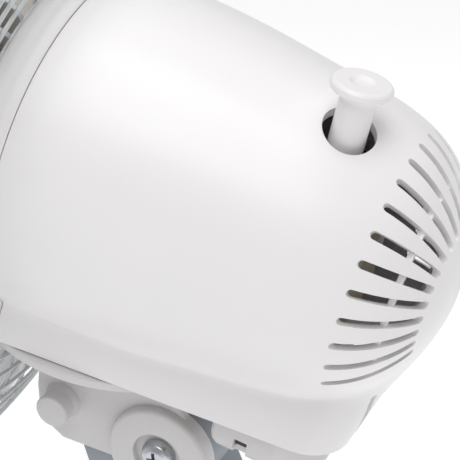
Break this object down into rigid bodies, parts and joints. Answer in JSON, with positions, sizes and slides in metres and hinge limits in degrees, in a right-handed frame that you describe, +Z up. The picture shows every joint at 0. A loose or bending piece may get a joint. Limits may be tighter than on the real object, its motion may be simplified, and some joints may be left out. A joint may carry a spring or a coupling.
{
  "type": "desk fan",
  "caption": "Oscillating desk fan: wire guard and blade on a white motor head with vent slots and pull knob, tilting on a neck over a round base with push buttons.",
  "frame": {"origin": "centre of the round base, on the surface it stands on", "axes": "+Z up, -Y the way the fan blows, +X to the right of someone standing in front of it looking along +Y"},
  "size_m": [0.355, 0.2561, 0.4847],
  "materials": {
    "white_plastic": "satin injection-moulded ABS, slight texture",
    "off_white_plastic": "fine matt moulded plastic",
    "grey_blue_plastic": "fine matt moulded plastic",
    "cream_nylon": "natural nylon, slightly translucent",
    "blade_plastic": "warm light grey, smooth",
    "button_plastic": "smooth",
    "black_rubber": "matt",
    "black_plastic": "matt",
    "white_wire": "white powder coat on steel wire",
    "zinc_steel": "bright zinc plate",
    "bare_steel": "ground",
    "cast_aluminium": "as cast",
    "lamination_steel": "stacked sheet edges",
    "copper_wire": "enamelled copper",
    "sintered_bronze": "sintered"
  },
  "bodies": {
    "base": {"base_shell": "white_plastic", "base_plate": "off_white_plastic", "counterweight": "bare_steel", "foot_1": "black_rubber", "foot_2": "black_rubber", "foot_3": "black_rubber", "foot_4": "black_rubber", "base_screw_front": "zinc_steel", "base_screw_rear": "zinc_steel", "neck_column": "grey_blue_plastic", "control_panel": "grey_blue_plastic", "switch_block": "black_plastic", "cord_inlet": "grey_blue_plastic"},
    "bracket": {"tilt_bracket": "off_white_plastic", "tilt_screw": "zinc_steel", "tilt_nut": "zinc_steel", "swivel_bush": "cream_nylon"},
    "head": {"rear_housing": "white_plastic", "front_cover": "white_plastic", "bottom_plate": "off_white_plastic", "gear_cover": "off_white_plastic", "cover_screw_left": "zinc_steel", "cover_screw_right": "zinc_steel", "swivel_yoke": "cast_aluminium", "stator_core": "lamination_steel", "winding_front": "copper_wire", "winding_rear": "copper_wire", "end_bracket_front": "cast_aluminium", "end_bracket_rear": "cast_aluminium", "bush_front": "sintered_bronze", "bush_rear": "sintered_bronze", "capacitor": "black_plastic", "gearbox_housing": "cream_nylon", "gearbox_lid": "cream_nylon", "rear_guard": "white_wire", "front_guard": "white_wire", "guard_rim": "white_plastic", "guard_nut": "off_white_plastic", "guard_badge": "white_plastic"},
    "rotor": {"rotor_shaft": "bare_steel", "rotor_core": "lamination_steel", "worm": "bare_steel", "fan_blade": "blade_plastic", "blade_nut": "blade_plastic"},
    "worm_wheel": {"worm_wheel": "cream_nylon"},
    "knob": {"oscillation_knob": "white_plastic", "clutch_shaft": "bare_steel"},
    "pinion": {"drive_pinion": "bare_steel"},
    "crank": {"crank_gear": "cream_nylon"},
    "link": {"crank_link": "cream_nylon"},
    "button_off": {"button_off": "button_plastic"},
    "button_low": {"button_low": "button_plastic"},
    "button_medium": {"button_medium": "button_plastic"},
    "button_high": {"button_high": "button_plastic"}
  },
  "joints": [
    {"name": "head_tilt", "type": "hinge", "parent": "base", "child": "bracket", "pos_m": [0, 0.0365, 0.2], "axis": [-1, 0, 0], "range_deg": [-12, 20]},
    {"name": "head_swivel", "type": "hinge", "parent": "bracket", "child": "head", "pos_m": [0, 0.00977, 0.24453], "axis": [0, 0.2079, 0.9781], "range_deg": [-40, 40]},
    {"name": "rotor_spin", "type": "hinge", "parent": "head", "child": "rotor", "pos_m": [0, 0.03858, 0.29157], "axis": [0, 0.9781, -0.2079], "continuous": true},
    {"name": "worm_wheel_spin", "type": "hinge", "parent": "head", "child": "worm_wheel", "pos_m": [0.0152, 0.08602, 0.28148], "axis": [0, 0.2079, 0.9781], "continuous": true},
    {"name": "knob_pull", "type": "slide", "parent": "head", "child": "knob", "axis": [0, 0.2079, 0.9781], "range_m": [-0.007, 0]},
    {"name": "pinion_spin", "type": "hinge", "parent": "head", "child": "pinion", "pos_m": [0.0152, 0.07604, 0.23453], "axis": [0, 0.2079, 0.9781], "range_deg": [-361, 361]},
    {"name": "crank_spin", "type": "hinge", "parent": "head", "child": "crank", "pos_m": [0, 0.05663, 0.23866], "axis": [0, 0.2079, 0.9781], "range_deg": [-90.5, 90.5]},
    {"name": "link_swing", "type": "hinge", "parent": "bracket", "child": "link", "pos_m": [0.014, 0.01019, 0.24649], "axis": [0, 0.2079, 0.9781], "range_deg": [-40.5, 40.5]},
    {"name": "press_off", "type": "slide", "parent": "base", "child": "button_off", "axis": [0, 0, -1], "range_m": [0, 0.004], "stiffness_N_per_m": 250, "springref_m": -0.004},
    {"name": "press_low", "type": "slide", "parent": "base", "child": "button_low", "axis": [0, 0, -1], "range_m": [0, 0.004], "stiffness_N_per_m": 250, "springref_m": -0.004},
    {"name": "press_medium", "type": "slide", "parent": "base", "child": "button_medium", "axis": [0, 0, -1], "range_m": [0, 0.004], "stiffness_N_per_m": 250, "springref_m": -0.004},
    {"name": "press_high", "type": "slide", "parent": "base", "child": "button_high", "axis": [0, 0, -1], "range_m": [0, 0.004], "stiffness_N_per_m": 250, "springref_m": -0.004}
  ],
  "couplings": [
    {"joint": "worm_wheel_spin", "follows": "rotor_spin", "ratio": -0.045455},
    {"joint": "pinion_spin", "follows": "head_swivel", "ratio": 9},
    {"joint": "crank_spin", "follows": "head_swivel", "ratio": -2.25},
    {"joint": "link_swing", "follows": "head_swivel", "ratio": 1}
  ]
}
